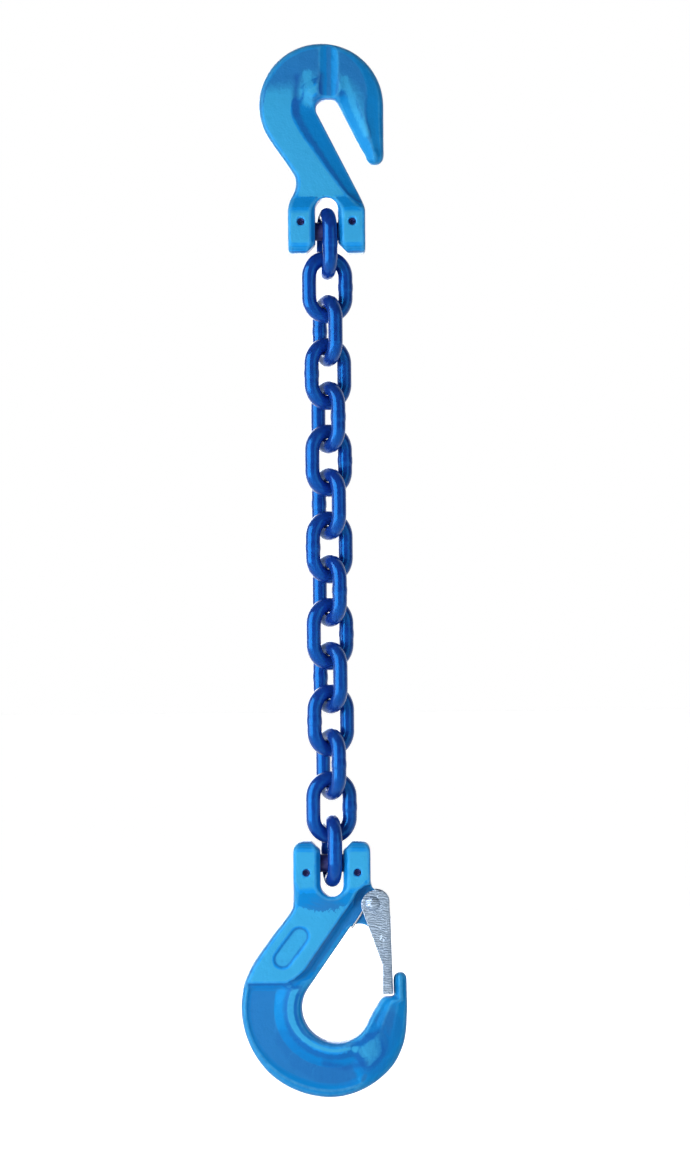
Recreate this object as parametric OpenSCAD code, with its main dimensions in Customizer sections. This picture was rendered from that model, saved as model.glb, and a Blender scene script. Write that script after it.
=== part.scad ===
// Single-leg chain sling: clevis grab hook, fifteen welded links, clevis sling hook with a spring latch.
// Millimetres, +Z up, hanging. The origin is the seat in the slot of the grab hook, where the load enters.
// The hooks lie in the XZ plane, their load pins along X, the latch rivet along Y.

/* [Chain] */
// Diameter of the link wire
wire_d = 10; // [9:0.5:10.5]
// Inside length of a link, its pitch
link_inside = 30; // [29:0.5:36]
// Overall width of a link
link_w = 36; // [35:0.5:40]
// Play between two seated links, and between a link and its load pin
seat_gap = 0.3; // [0.2:0.05:0.5]
// Diameter over the weld on one limb
weld_d = 10.6; // [10.4:0.1:11]
// Length of the weld
weld_len = 7; // [5:0.5:9]
// Yaw of the even links in the middle of the chain, degrees
even_yaw = 31; // [24:1:36]
// Yaw of the odd links in the middle of the chain, degrees
odd_yaw = -58; // [-62:1:-55]
// Yaw of the two end links, which lie edge-on in the clevises, degrees
end_yaw = -80; // [-90:1:-79]

/* [Load pins] */
// Diameter of the load pins
pin_d = 12.5; // [11.5:0.5:13]
// Radial clearance of a pin in its bore
pin_fit = 0.05; // [0.02:0.01:0.1]
// How far the pin ends lie inside the faces of the ears
pin_inset = 1.2; // [0.5:0.1:2]
// Chamfer at the pin ends
pin_chamfer = 0.8; // [0.4:0.1:1.2]
// Outside diameter of the spring pins
roll_d = 5; // [4:0.25:5.5]
// Bore of the spring pins
roll_bore = 2.4; // [2:0.2:3]
// Slit along the spring pins
roll_slit = 0.8; // [0.5:0.1:1.2]
// Depth of the spring pin ends below the faces of the ears
roll_inset = 3; // [1:0.25:4]
// Distance of the spring pins from the axis of the load pin
roll_offset = 6; // [5.5:0.25:6.5]

/* [Clevis] */
// Width over both ears
clevis_w = 53; // [50:0.5:56]
// Gap between the ears
clevis_gap = 15.6; // [15.2:0.1:16.5]
// Thickness of the ears, front to back
ear_t = 28; // [26:0.5:30]
// Distance from the load pin to the end of the ears
ear_end = 15.4; // [14:0.2:16]
// Distance from the load pin to the root of the gap
gap_root = 22.5; // [21:0.25:24]
// Bevel along the edges of the gap
gap_bevel = 3.5; // [2:0.25:4]
// Bevel at the inner corners of the ears
corner_bevel = 6.4; // [5:0.2:7]
// Rounding of the ears at their ends, front and back
ear_round = 8; // [5:0.5:9]

/* [Grab hook] */
// Distance from the seat to the load pin
grab_reach = 90; // [86:0.5:96]
// Radius of the crown
crown_r = 42.6; // [41:0.2:45]
// Depth of the crown over the seat
crown_depth = 38.5; // [36:0.5:42]
// Width of the slot
slot_w = 15.4; // [14:0.1:16.5]
// Lean of the slot from the vertical, degrees
slot_lean = 27; // [25:0.5:29]
// Distance from the seat down to the tip of the prong
prong_len = 44.5; // [42:0.5:48]
// Thickness of the crown and shank
grab_t = 22; // [20:0.5:24]
// Half thickness of the crown at its rim
crown_rim = 8; // [7:0.25:9.5]
// Depth of the saddle groove at the seat
saddle_depth = 2.6; // [1:0.2:3]
// Width of the saddle groove
saddle_w = 14.4; // [12:0.2:16]
// Half thickness at the wall of the slot
slot_edge = 6.5; // [5:0.25:8]

/* [Sling hook] */
// Distance from the load pin to the bottom of the bowl
sling_reach = 122.5; // [118:0.5:128]
// Radius of the bowl
bowl_r = 23.5; // [22:0.25:25]
// Sideways offset of the bowl from the load line
bowl_x = 2.5; // [1:0.25:4]
// Depth of the hook under the bowl
bowl_depth = 37.7; // [35:0.5:40]
// Depth of the back of the hook
back_depth = 41.5; // [39:0.5:44]
// Lean of the shank from the vertical, degrees
shank_lean = 35; // [33:0.5:37]
// Thickness of the inner rim of the bowl
rim_t = 22; // [20:0.5:24]
// Thickness of the recessed web
web_t = 14.5; // [12:0.5:16]
// Length of the oval recess between its round ends
oval_len = 19.4; // [17:0.2:20]
// Width of the oval recess
oval_w = 13.6; // [11:0.2:14]
// Depth of the oval recess
oval_depth = 0.9; // [0.6:0.1:1.2]
// Width of the strip along the inner side of the shank, level with the lug
strip_w = 6.2; // [5.5:0.1:7]
// Distance of the ridge of the shank from its inner side
ridge_w = 10; // [9.5:0.1:11]
// Width of the tip
tip_w = 9.2; // [8:0.2:10]
// Height of the tip above the ledge that the latch ends over
tip_h = 17; // [15:0.5:18]

/* [Latch] */
// Sideways place of the rivet from the load line
rivet_x = 27.6; // [27:0.1:28.5]
// Distance of the rivet below the load pin
rivet_drop = 27.4; // [26.5:0.1:28.5]
// Diameter of the rivet
rivet_d = 5.5; // [5:0.25:6]
// Diameter of the rivet heads
rivet_head_d = 10; // [9:0.25:11]
// Thickness of the lug between the cheeks
lug_t = 8.5; // [8:0.25:8.5]
// Sheet thickness of the latch
sheet_t = 1.8; // [1.5:0.1:2]
// Outer radius of the bends of the latch
bend_r = 3; // [2.4:0.1:3.4]
// Gap between the cheeks of the latch
latch_gap = 16.5; // [16.5:0.25:17.5]
// Radius of the latch head
head_r = 10; // [9:0.25:10.5]
// Width of the latch at its end
latch_end_w = 7; // [6:0.25:8]
// Diameter of the spring wire
spring_d = 1.4; // [1.2:0.1:1.4]

/* [Hidden] */
$fn = 64;
link_count = 15;
function link_name(k) = str("link_", k < 10 ? "0" : "", k);

eps = 0.01;
hook_blue = [0.13, 0.5, 0.8];
chain_blue = [0.04, 0.17, 0.6];
zinc = [0.72, 0.77, 0.82];
steel = [0.45, 0.46, 0.48];

// Clearance of a link or the latch where it swings past a hook
swing_room = 0.5;

wire_r = wire_d / 2;
crown_line_r = (link_w - wire_d) / 2;
limb_half = link_inside / 2 + wire_r - crown_line_r;
link_step = link_inside - seat_gap;
pin_r = pin_d / 2;
grab_pin_z = -grab_reach;
first_link_z = grab_pin_z + pin_r + seat_gap - link_inside / 2;
last_link_z = first_link_z - (link_count - 1) * link_step;
sling_pin_z = last_link_z - link_inside / 2 + seat_gap + pin_r;
// Distance from a load pin to the centre of the crown of the second link
next_crown = link_inside / 2 - pin_r - seat_gap + link_step - limb_half;
half_w = clevis_w / 2;
roll_x = (clevis_w + clevis_gap) / 4 + 0.4;

// Small helpers
function mix(a, b, f) = a + (b - a) * f;
function dir(a) = [cos(a), sin(a)];
function last(list) = list[len(list) - 1];
function reverse(list) = [for (i = [len(list) - 1 : -1 : 0]) list[i]];
function eased(f) = 0.5 - cos(180 * min(1, max(0, f))) / 2;

// Loft of a forging. A row is [inner point, outer point, section], the points in the XZ plane.
// A section is [half thickness of the inner rim, of the web at its two sides and of the outer rim,
// shares of the width at which the inner rim ends and the web starts and ends, edge share of the rims].
// swell(z) thickens all but the inner rim towards the clevis.
function across(s) = [0, 0.1 * s[4], 0.3 * s[4], 0.6 * s[4], s[4], s[5],
    s[6], mix(s[6], 1, 0.45), mix(s[6], 1, 0.75), mix(s[6], 1, 0.94), 1];
function heights(s) = let (e = s[7], g = 1 - s[7])
    [e * s[0], (e + 0.57 * g) * s[0], (e + 0.88 * g) * s[0], s[0], s[0], s[1],
     s[2], s[3], (e + 0.8 * g) * s[3], (e + 0.45 * g) * s[3], e * s[3]];
function ring(row, swell) = let (h = heights(row[2]), p = [for (f = across(row[2])) mix(row[0], row[1], f)],
    n = len(p) - 1, y = [for (i = [0 : n]) i < 5 ? h[i] : h[i] * swell(p[i][1])]) concat(
    [for (i = [0 : n]) [p[i][0], -y[i], p[i][1]]],
    [for (i = [n : -1 : 0]) [p[i][0], y[i], p[i][1]]]);

// Rows filled in along a smooth curve through the given ones, no further apart than row_step
row_step = 4;
function stride(a, b) = max(norm(b[0] - a[0]), norm(b[1] - a[1]));
function filled(rows) = concat([for (i = [0 : len(rows) - 2])
    let (n = ceil(stride(rows[i], rows[i + 1]) / row_step)) for (j = [0 : n - 1]) between(rows, i, j / n)], [last(rows)]);
function between(rows, i, f) = let (b = rows[i], c = rows[i + 1],
    a = i > 0 ? rows[i - 1] : 2 * b - c, d = i < len(rows) - 2 ? rows[i + 2] : 2 * c - b,
    s = sqrt(stride(a, b)), m = sqrt(stride(b, c)), e = sqrt(stride(c, d)), t = m * f,
    ab = mix(a, b, t / s + 1), bc = mix(b, c, f), cd = mix(c, d, (t - m) / e))
    mix(mix(ab, bc, (t + s) / (s + m)), mix(bc, cd, t / (m + e)), f);

// Rows round the free end of a hook, which points up or down
function nose_rows(c, r, sense, s) = [for (a = [84, 66, 46, 24, 4])
    [c + r * [-cos(a), sense * sin(a)], c + r * [cos(a), sense * sin(a)],
     let (k = mix(0.25, 1, cos(a))) [k * s[0], k * s[1], k * s[2], k * s[3], s[4], s[5], s[6], s[7]]]];

module forging(rows, swell) {
    skin([for (row = filled(rows)) ring(row, swell)]);
}

// Closed skin over rings with equally many points
module skin(rings) {
    n = len(rings[0]);
    m = len(rings);
    sides = [for (j = [0 : m - 2], i = [0 : n - 1]) let (a = j * n, b = a + n, k = (i + 1) % n)
        each [[a + i, a + k, b + k], [a + i, b + k, b + i]]];
    ends = [[for (i = [n - 1 : -1 : 0]) i], [for (i = [0 : n - 1]) (m - 1) * n + i]];
    polyhedron([for (r = rings) each r], concat(sides, ends), convexity = 6);
}

// The clevis, about the load pin, with its ears towards +Z
module gap_cut() {
    root_r = clevis_gap / 2;
    root_z = -gap_root + root_r;
    translate([0, ear_t, root_z]) rotate([90, 0, 0]) cylinder(r = root_r, h = 2 * ear_t);
    translate([-root_r, -ear_t, root_z]) cube([clevis_gap, 2 * ear_t, gap_root + ear_end]);
    for (f = [0, 1]) mirror([0, f, 0]) {
        // bevel round the root of the gap, then along its two sides
        translate([0, ear_t / 2 + 1, root_z]) rotate([90, 0, 0])
            cylinder(r1 = root_r + gap_bevel + 1, r2 = root_r, h = gap_bevel + 1);
        translate([0, 0, root_z]) linear_extrude(gap_root + ear_end)
            polygon([[-root_r - gap_bevel - 1, ear_t / 2 + 1], [root_r + gap_bevel + 1, ear_t / 2 + 1],
                     [root_r, ear_t / 2 - gap_bevel], [-root_r, ear_t / 2 - gap_bevel]]);
    }
    // bevelled inner corners at the ends of the ears
    rotate([90, 0, 0]) translate([0, 0, -ear_t]) linear_extrude(2 * ear_t)
        polygon([[-root_r - corner_bevel, ear_end + eps], [root_r + corner_bevel, ear_end + eps],
                 [root_r, ear_end - corner_bevel], [-root_r, ear_end - corner_bevel]]);
    // room for the crown of the next link as the first one swings round the load pin
    intersection() {
        rotate([0, 90, 0]) rotate_extrude() translate([next_crown, 0]) circle(r = link_w / 2 + swing_room);
        translate([-clevis_w / 2, -ear_t, 0]) cube([clevis_w, 2 * ear_t, ear_end + 1]);
    }
}

module pin_bores() {
    translate([-clevis_w, 0, 0]) rotate([0, 90, 0]) cylinder(r = pin_r + pin_fit, h = 2 * clevis_w);
    for (s = [-1, 1]) translate([s * roll_x, ear_t, -roll_offset]) rotate([90, 0, 0])
        cylinder(r = roll_d / 2 + pin_fit, h = 2 * ear_t);
}

module load_pin() {
    h = clevis_w - 2 * pin_inset;
    difference() {
        translate([-h / 2, 0, 0]) rotate([0, 90, 0]) rotate_extrude() polygon([[0, 0], [pin_r - pin_chamfer, 0],
            [pin_r, pin_chamfer], [pin_r, h - pin_chamfer], [pin_r - pin_chamfer, h], [0, h]]);
        for (s = [-1, 1]) translate([s * roll_x, pin_d, -roll_offset]) rotate([90, 0, 0])
            cylinder(r = roll_d / 2 + pin_fit, h = 2 * pin_d);
    }
}

module roll_pins() {
    h = ear_t - 2 * roll_inset;
    for (s = [-1, 1]) translate([s * roll_x, h / 2, -roll_offset]) rotate([90, 0, 0]) difference() {
        cylinder(d = roll_d, h = h);
        translate([0, 0, -eps]) cylinder(d = roll_bore, h = h + 2 * eps);
        translate([0, -roll_slit / 2, -eps]) cube([roll_d, roll_slit, h + 2 * eps]);
    }
}

// Sections of the clevis at a height over the load pin, rounded front and back and at the outer corners.
// The ears are thicker than the shank by a ratio, which their sections leave to the swell.
function rounded(z, r) = z < ear_end - r ? r : sqrt(max(0, r * r - pow(z - ear_end + r, 2)));
function clevis_section(z, ratio) = let (t = ear_t / 2 - ear_round + rounded(z, ear_round), u = t / ratio)
    [t, u, u, u, 0.05, 0.07, 0.95, 0.8];
function clevis_row(z, corner, place, ratio) = let (x = half_w - corner + rounded(z, corner))
    [[x, place], [-x, place], clevis_section(z, ratio)];
clevis_heights = [-11, 0, for (f = [0.37, 0.46, 0.62, 0.78, 0.89, 0.96, 0.99, 1]) f * ear_end];

// Grab hook
grab_ratio = ear_t / grab_t;
grab_swell = function (z) mix(grab_ratio, 1, eased((z - grab_pin_z - 10.5) / 15));
prong_section = [slot_edge, 9.8, 9.8, 7.4, 0.08, 0.47, 0.53, 0.35];
crown_section = [grab_t / 2, grab_t / 2 - 1.3, crown_rim + 0.5, crown_rim, 0.25, 0.4, 0.9, 0.35];

slot_run = [sin(slot_lean), -cos(slot_lean)];
slot_across = [cos(slot_lean), sin(slot_lean)];
slot_c = [-slot_w * 0.14, 0];
function slot_point(d, side) = slot_c + side * slot_w / 2 * slot_across + d * slot_run;
crown_c = [-3.1, crown_depth - crown_r];
function crown_point(a) = crown_c + crown_r * dir(a);
prong_x = crown_c[0] + crown_r;
// End of the slot: for an angle on the crown the point on the seat that faces it
seat_right = slot_point(6.7, 1) * 2 / slot_w;
function seat_point(a) = slot_w / 2 * [
    lookup(a, [[4, seat_right[0]], [30, 0.73], [75, 0], [115, -0.42], [145, -0.73], [170, -0.9], [192, -0.84]]),
    lookup(a, [[4, seat_right[1]], [30, -0.04], [75, 0.01], [115, -0.09], [145, -0.31], [170, -0.65], [192, -1.12]])];
// Shank beside the slot, with a bevel from the wall of the slot up to its ridge
wall_run = (half_w - slot_point(0, -1)[0]) / slot_run[0];
function wall_part(inner, outer, bevel) = let (w = (inner - outer) * slot_across)
    [slot_edge, grab_t / 2, grab_t / 2, grab_t / 2 - 0.5, 1.5 / w, bevel / w, 1 - 3 / w, 0.6];
function wall_row(f, outer, bevel) = let (inner = slot_point(f * wall_run, -1))
    [inner, outer, wall_part(inner, outer, bevel)];
crown_foot = wall_part(slot_point(0.13 * wall_run, -1), crown_point(202), 17);
function crown_part(a) = a < 75 ? mix(prong_section, crown_section, eased(0.3 + a / 107))
    : mix(crown_section, crown_foot, eased((a - 130) / 66));
notch = [-half_w + 5.6, grab_pin_z + 33.5];
prong_end = [5.8, 8.4, 8.4, 6.4, 0.12, 0.5, 0.55, 0.35];
prong_end_r = 6.3;
prong_end_c = [prong_x - prong_end_r, -prong_len + 5.8];

grab_rows = concat(
    nose_rows(prong_end_c, prong_end_r, -1, prong_end),
    [[slot_point(0.95 * prong_len, 1), [prong_x, 0.2 - 0.8 * prong_len], prong_end],
     [slot_point(0.7 * prong_len, 1), [prong_x, -0.58 * prong_len], prong_section],
     [slot_point(0.4 * prong_len, 1), [prong_x, -0.27 * prong_len], prong_section]],
    [for (a = [4 : 9.4 : 192]) [seat_point(a), crown_point(a), crown_part(a)]],
    [wall_row(0.13, crown_point(202), 17),
     wall_row(0.28, crown_point(214), 16.5),
     wall_row(0.46, mix(crown_point(214), notch + [-2.7, 7], 0.47), 14.2),
     wall_row(0.6, notch + [-2.7, 7], 12.6),
     wall_row(0.73, notch + [-0.4, 2.6], 11),
     wall_row(0.82, notch + [-0.2, -3], 9.6),
     wall_row(0.895, notch + [-1.6, -7.6], 8),
     [[half_w - 1.2, grab_pin_z + 18.4], notch + [-4.1, -12.6], mix(clevis_section(-11, grab_ratio),
         wall_part([half_w, 0], [-half_w, 0], 8), 0.5)],
     [[half_w, grab_pin_z + 14], [-half_w, grab_pin_z + 14.5], clevis_section(-11, grab_ratio)]],
    [for (z = clevis_heights) clevis_row(z, 2.5, grab_pin_z - z, grab_ratio)]);

// Groove over the crown, leaning with its face; its width and depth give its radius
saddle_r = (pow(saddle_w / 2, 2) + pow(saddle_depth, 2)) / (2 * saddle_depth);
saddle_x = 2.4;
saddle_tilt = atan((grab_t / 2 - crown_rim - 1) / crown_depth);

module grab_hook() {
    color(hook_blue) difference() {
        forging(reverse(grab_rows), grab_swell);
        translate([0, 0, grab_pin_z]) mirror([0, 0, 1]) {
            gap_cut();
            pin_bores();
        }
        // saddle groove over the crown, front and back
        for (f = [0, 1]) mirror([0, f, 0]) translate([saddle_x, -grab_t / 2 - saddle_r + saddle_depth, 0])
            rotate([-saddle_tilt, 0, 0]) translate([0, 0, -2]) cylinder(r = saddle_r, h = crown_depth + 6);
    }
}

module grab_load_pin() { color(steel) translate([0, 0, grab_pin_z]) mirror([0, 0, 1]) load_pin(); }
module grab_roll_pins() { color(steel) translate([0, 0, grab_pin_z]) mirror([0, 0, 1]) roll_pins(); }

// Chain. Each link is turned a further quarter turn, give or take what the slack chain shows.
function ramp(k) = min(1, min(k - 1, link_count - k) / 3);
function link_yaw(k) = 90 * (k - 1) + (k % 2 == 1
    ? mix(end_yaw, odd_yaw, ramp(k)) : mix(end_yaw, even_yaw - 90, ramp(k)));

module link() {
    for (s = [-1, 1]) {
        translate([s * crown_line_r, 0, -limb_half]) cylinder(r = wire_r, h = 2 * limb_half);
        translate([0, 0, s * limb_half]) rotate([90, 0, 0])
            rotate_extrude(angle = 180, start = s > 0 ? 0 : 180) translate([crown_line_r, 0]) circle(r = wire_r);
    }
    // weld on one limb
    translate([crown_line_r, 0, 0]) {
        translate([0, 0, -weld_len / 2 + 1.5]) cylinder(d = weld_d, h = weld_len - 3);
        for (s = [0, 1]) mirror([0, 0, s]) translate([0, 0, weld_len / 2 - 1.5])
            cylinder(d1 = weld_d, d2 = wire_d - eps, h = 1.5);
    }
}

module chain_link(k) {
    color(chain_blue) translate([0, 0, first_link_z - (k - 1) * link_step]) rotate([0, 0, link_yaw(k)]) link();
}

// Sling hook, about its load pin
sling_ratio = ear_t / rim_t;
sling_swell = function (z) mix(sling_ratio, 1, eased((-z - 13) / 19));
bowl_c = [bowl_x, -sling_reach + bowl_r];
bowl_section = [rim_t / 2, web_t / 2, web_t / 2, 9.5, 0.17, 0.45, 0.755, 0.35];
solid_section = [rim_t / 2 - 1.2, rim_t / 2, rim_t / 2 - 1.4, 8.2, 0.14, 0.3, 0.7, 0.3];
foot_section = [rim_t / 2 - 1, web_t / 2, web_t / 2, 9.4, 0.25, 0.47, 0.87, 0.35];
ledge_section = [rim_t / 2 - 3, rim_t / 2, rim_t / 2, rim_t / 2 - 0.6, 0.26, 0.4, 0.93, 0.45];
tip_section = [5.5, 7, 7, 5.5, 0.25, 0.42, 0.62, 0.4];
tangent_a = -180 - shank_lean;
function hook_depth(a) = lookup(-a, [[20, bowl_depth - 10.8], [45, bowl_depth - 6], [90, bowl_depth],
    [135, back_depth - 0.7], [180, back_depth + 0.3], [200, back_depth + 0.6], [-tangent_a, back_depth - 0.5]]);
function outer_point(a) = bowl_c + (bowl_r + hook_depth(a)) * dir(a);
// Past the bottom of the bowl the sections lean forward, so that the ledge of the web lies level
function section_lag(a) = lookup(-a, [[140, 0], [190, 12], [204, 18], [-tangent_a, 23]]);
function bowl_row(a, s) = [bowl_c + bowl_r * dir(a), outer_point(a + section_lag(a)), s];
function bowl_part(a) = a > -62 ? mix(tip_section, solid_section, min(1, (-a + 5) / 50))
    : a > -76 ? mix(solid_section, bowl_section, eased((-a - 62) / 14))
    : mix(bowl_section, foot_section, eased((-a - 105) / 70));
tip_x = bowl_x + bowl_r + bowl_depth - 22.1;
ledge_z = -sling_reach + 30.7;
tip_end_r = 0.49 * tip_w;

// The shank leans from the bowl to the clevis. Its inner side is straight, and carries a strip level with
// the lug and a steep slope up to the ridge. Its outer side runs from the ledge of the web to the shoulder.
up = [sin(shank_lean), cos(shank_lean)];
out = [-cos(shank_lean), sin(shank_lean)];
shank_foot = bowl_c + bowl_r * dir(tangent_a);
shank_run = (half_w - shank_foot[0]) / up[0];
ledge_end = [bowl_x - bowl_r - back_depth + 1.9, shank_foot[1] + 4.6];
shoulder = [-half_w - 0.7, -gap_root - 9];
function shank_part(inner, outer) = let (w = (outer - inner) * out)
    [lug_t / 2, rim_t / 2, rim_t / 2, rim_t / 2 - 0.5, strip_w / w, ridge_w / w, 1 - 3 / w, 0.5];
function shank_row(f, outer) = let (inner = shank_foot + f * shank_run * up) [inner, outer, shank_part(inner, outer)];
function shank_side(f, bulge) = mix(ledge_end, shoulder, f) + bulge * out;

sling_rows = concat(
    nose_rows([tip_x + tip_end_r, ledge_z + tip_h - tip_end_r], tip_end_r, 1, tip_section),
    [[[tip_x, ledge_z + 0.4 * tip_h], [tip_x + tip_w - 0.1, ledge_z + 0.35 * tip_h], tip_section],
     [[tip_x, ledge_z + 0.2 * tip_h], [tip_x + tip_w, ledge_z + 0.06 * tip_h], tip_section],
     [[tip_x, ledge_z + 0.4], [tip_x + tip_w + 0.1, ledge_z - 3.4], tip_section],
     [[tip_x - 7.2, ledge_z], [tip_x + tip_w + 0.1, ledge_z - 6], mix(tip_section, solid_section, 0.1)],
     [[tip_x - 10.6, ledge_z - 4.2], [tip_x + tip_w, ledge_z - 10.5], mix(tip_section, solid_section, 0.3)]],
    [for (a = [-20 : -8.4 : -62]) bowl_row(a, bowl_part(a))],
    [for (a = [-66 : -4 : -78]) bowl_row(a, bowl_part(a))],
    [for (a = [-86 : -8.4 : -204]) bowl_row(a, bowl_part(a))],
    [bowl_row(tangent_a, foot_section),
     [shank_foot + 6 * up, ledge_end + [0.2, 0.3], ledge_section],
     [shank_foot + 9 * up, shank_side(0.07, 0.8), mix(ledge_section, shank_row(0.12, shank_side(0.07, 0.8))[2], 0.6)],
     shank_row(0.186, shank_side(0.23, 2)),
     shank_row(0.25, shank_side(0.42, 2.1)),
     shank_row(0.35, shank_side(0.65, 1.6)),
     shank_row(0.477, shank_side(0.85, 0.7)),
     shank_row(0.6, shoulder + 0.6 * out),
     shank_row(0.716, [-half_w - 0.3, -gap_root - 4]),
     shank_row(0.81, [-half_w, 1 - gap_root]),
     shank_row(0.889, [-half_w, 4.5 - gap_root]),
     shank_row(0.95, [-half_w, 6 - gap_root]),
     [[half_w, 3.5 - gap_root], [-half_w, 8 - gap_root],
      mix(shank_part([half_w, 0], [-half_w, 0]), clevis_section(-11, sling_ratio), 0.35)],
     [[half_w, -14.5], [-half_w, -12.8], mix(shank_part([half_w, 0], [-half_w, 0]), clevis_section(-11, sling_ratio), 0.9)]],
    [for (z = clevis_heights) clevis_row(z, 7, z, sling_ratio)]);

rivet_c = [rivet_x, -rivet_drop];
head_c = rivet_c + [2.2, -1];

// Lug between the cheeks, rounded round the rivet and hollowed at the top of the throat, in line with the shank.
// Its lower right side stays clear of the web of the open latch.
throat_r = 10.2;
throat_z = rivet_c[1] - 24.5;
throat_c = [shank_foot[0] + (throat_z - shank_foot[1]) * tan(shank_lean) + throat_r / cos(shank_lean) - 0.8, throat_z];
module lug() {
    rotate([90, 0, 0]) translate([0, 0, -lug_t / 2]) linear_extrude(lug_t) difference() {
        union() {
            translate(rivet_c) circle(r = head_r - 1.5);
            polygon([[20, -12], [8, -20], [8, -42], [10, -46.5], rivet_c + [-3.4, -18.6], rivet_c + [-1.7, -17.2],
                     rivet_c + [3.9, -11.2], rivet_c + [7.2, -5], rivet_c + [head_r - 1.5, 0],
                     rivet_c + [6, 6], [half_w + 1, -17], [half_w, -12]]);
        }
        translate(throat_c) circle(r = throat_r);
    }
}

module sling_hook() {
    color(hook_blue) translate([0, 0, sling_pin_z]) difference() {
        union() {
            forging(sling_rows, sling_swell);
            lug();
        }
        gap_cut();
        pin_bores();
        translate([rivet_c[0], ear_t, rivet_c[1]]) rotate([90, 0, 0])
            cylinder(d = rivet_d + 2 * pin_fit, h = 2 * ear_t);
        // room for the cheeks and the spring beside the lug
        for (f = [0, 1]) mirror([0, f, 0]) translate([rivet_c[0], -lug_t / 2, rivet_c[1]]) rotate([90, 0, 0])
            cylinder(r = norm(head_c - rivet_c) + head_r + swing_room, h = ear_t);
        for (f = [0, 1]) mirror([0, f, 0]) translate([oval_c[0], -rim_t / 2, oval_c[1]]) oval_cut();
    }
}

// Shallow oval recess with sloping walls, pressed into the flat of the shank
oval_c = shank_foot + 16.6 * up + 25.7 * out;
module oval_cut() {
    rotate([90, shank_lean - 88, 0]) {
        for (s = [-1, 1]) translate([s * oval_len / 2, 0, -oval_depth])
            cylinder(r1 = oval_w / 2 - oval_depth, r2 = oval_w / 2 + eps, h = oval_depth + eps);
        rotate([90, 0, 90]) translate([0, 0, -oval_len / 2]) linear_extrude(oval_len)
            polygon([[-oval_w / 2 + oval_depth, -oval_depth], [oval_w / 2 - oval_depth, -oval_depth],
                     [oval_w / 2 + eps, eps], [-oval_w / 2 - eps, eps]]);
    }
}

module sling_load_pin() { color(steel) translate([0, 0, sling_pin_z]) load_pin(); }
module sling_roll_pins() { color(steel) translate([0, 0, sling_pin_z]) roll_pins(); }

// Latch: a channel of bent sheet, its web towards the tip, its cheeks rounded at the rivet
latch_right = tip_x - seat_gap;
latch_foot_z = ledge_z + 2.4;
taper_z = -70;
web_top = rivet_c[1] - 9;
web_lean = atan((latch_right - head_c[0] - head_r) / (head_c[1] - latch_foot_z));
module latch_profile() {
    translate(head_c) circle(r = head_r);
    polygon([head_c + head_r * dir(200), [latch_right - latch_end_w, taper_z],
             [latch_right - latch_end_w, latch_foot_z], [latch_right, latch_foot_z],
             head_c + head_r * dir(2), head_c + [0, 2]]);
}
// Outline of the channel seen from above, its web at x = 0
module channel(w, r) {
    translate([-2 * half_w, -w / 2]) square([2 * half_w - r, w]);
    translate([-2 * half_w, r - w / 2]) square([2 * half_w, w - 2 * r]);
    for (s = [-1, 1]) translate([-r, s * (w / 2 - r)]) circle(r = r);
}
module upright(top) {
    translate([latch_right, 0, latch_foot_z]) rotate([0, -web_lean, 0]) translate([0, 0, -5])
        linear_extrude(top - latch_foot_z + 5) children();
}
module latch() {
    color(zinc) translate([0, 0, sling_pin_z]) difference() {
        intersection() {
            rotate([90, 0, 0]) translate([0, 0, -ear_t / 2]) linear_extrude(ear_t) latch_profile();
            upright(0) channel(latch_gap + 2 * sheet_t, bend_r);
        }
        upright(0) translate([-sheet_t, 0]) channel(latch_gap, bend_r - sheet_t);
        // open at the head
        translate([0, -latch_gap / 2, web_top]) cube([2 * half_w, latch_gap, 2 * head_r + 10]);
        translate([rivet_c[0], ear_t, rivet_c[1]]) rotate([90, 0, 0])
            cylinder(d = rivet_d + 4 * pin_fit, h = 2 * ear_t);
    }
}

module latch_rivet() {
    reach = latch_gap / 2 + sheet_t + 0.1;
    head_h = 2.6;
    head_sphere = (pow(rivet_head_d / 2, 2) + head_h * head_h) / (2 * head_h);
    color(zinc) translate([rivet_c[0], 0, sling_pin_z + rivet_c[1]]) {
        translate([0, reach, 0]) rotate([90, 0, 0]) cylinder(d = rivet_d, h = 2 * reach);
        for (f = [0, 1]) mirror([0, f, 0]) translate([0, -reach, 0]) rotate([90, 0, 0])
            rotate_extrude() intersection() {
                translate([0, head_h - head_sphere]) circle(r = head_sphere);
                square([rivet_head_d, rivet_head_d]);
            }
    }
}

// Spring: one wire with a coil on each side of the lug, its outer legs hooked under the lug and
// its middle bent round behind the web of the latch
coil_r = rivet_d / 2 + 0.4 + spring_d / 2;
coil_y = lug_t / 2 + spring_d / 2 + 0.2;
coil_from = 165;
coil_to = 21 - 360;
coil_pitch = spring_d + 0.1;
web_x = head_c[0] + head_r - sheet_t - spring_d / 2 - seat_gap - rivet_c[0];
hook_end = throat_c + (throat_r - spring_d / 2 - seat_gap) * dir(121) - rivet_c;
far_y = coil_y + (coil_from - coil_to) / 360 * coil_pitch;
spring_half = concat(
    [for (y = [2, 1, 0.4]) [hook_end[0], -coil_y + y, hook_end[1]]],
    [[hook_end[0] + 0.4, -coil_y, hook_end[1] + 0.6], [-5.6, -coil_y, -4], [-4.2, -coil_y, -1]],
    [for (a = [coil_from : -18 : coil_to]) [coil_r * cos(a), -coil_y - (coil_from - a) / 360 * coil_pitch, coil_r * sin(a)]],
    [[web_x - 2, -far_y, -11], [web_x, -far_y, -16], [web_x, -far_y, -24], [web_x, -far_y + 0.4, -24.8],
     [web_x, -far_y + 1.2, -25.2], [web_x, -2, -25.2]]);
module latch_spring() {
    path = concat(spring_half, [for (p = reverse(spring_half)) [p[0], -p[1], p[2]]]);
    color(steel) translate([rivet_c[0], 0, sling_pin_z + rivet_c[1]]) tube(path, spring_d / 2, [0.5, 0.8, 0.33]);
}

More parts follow.
